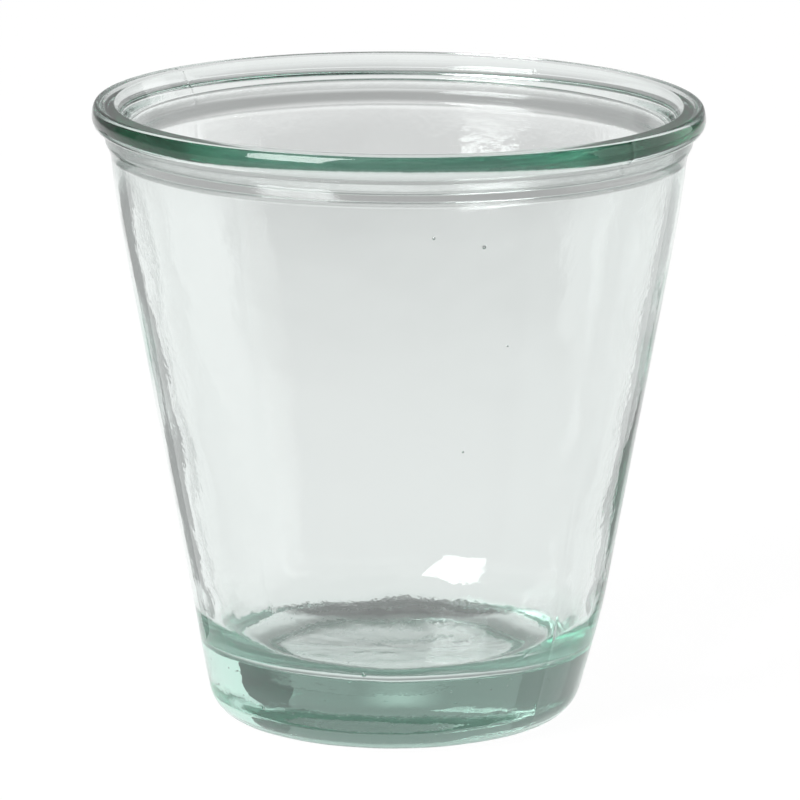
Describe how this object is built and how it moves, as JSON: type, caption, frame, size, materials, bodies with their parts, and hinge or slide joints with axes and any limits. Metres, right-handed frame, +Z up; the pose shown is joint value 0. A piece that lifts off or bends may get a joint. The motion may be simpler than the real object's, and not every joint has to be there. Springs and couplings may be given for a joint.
{
  "type": "juice glass",
  "caption": "Squat tapered drinking glass of pale green pressed glass, with a thick base, a shallow recess under it, a narrow neck ring and a rounded rim bead.",
  "frame": {"origin": "on the table, under the middle of the glass", "axes": "+Z up along the axis of the glass; +X and +Y are any two level directions at right angles"},
  "size_m": [0.089, 0.089, 0.0905],
  "materials": {
    "green_glass": "clear and glossy, pale green, slightly wavy"
  },
  "bodies": {
    "root": {"base": "green_glass", "wall": "green_glass", "neck_ring": "green_glass", "rim_bead": "green_glass"}
  },
  "joints": []
}
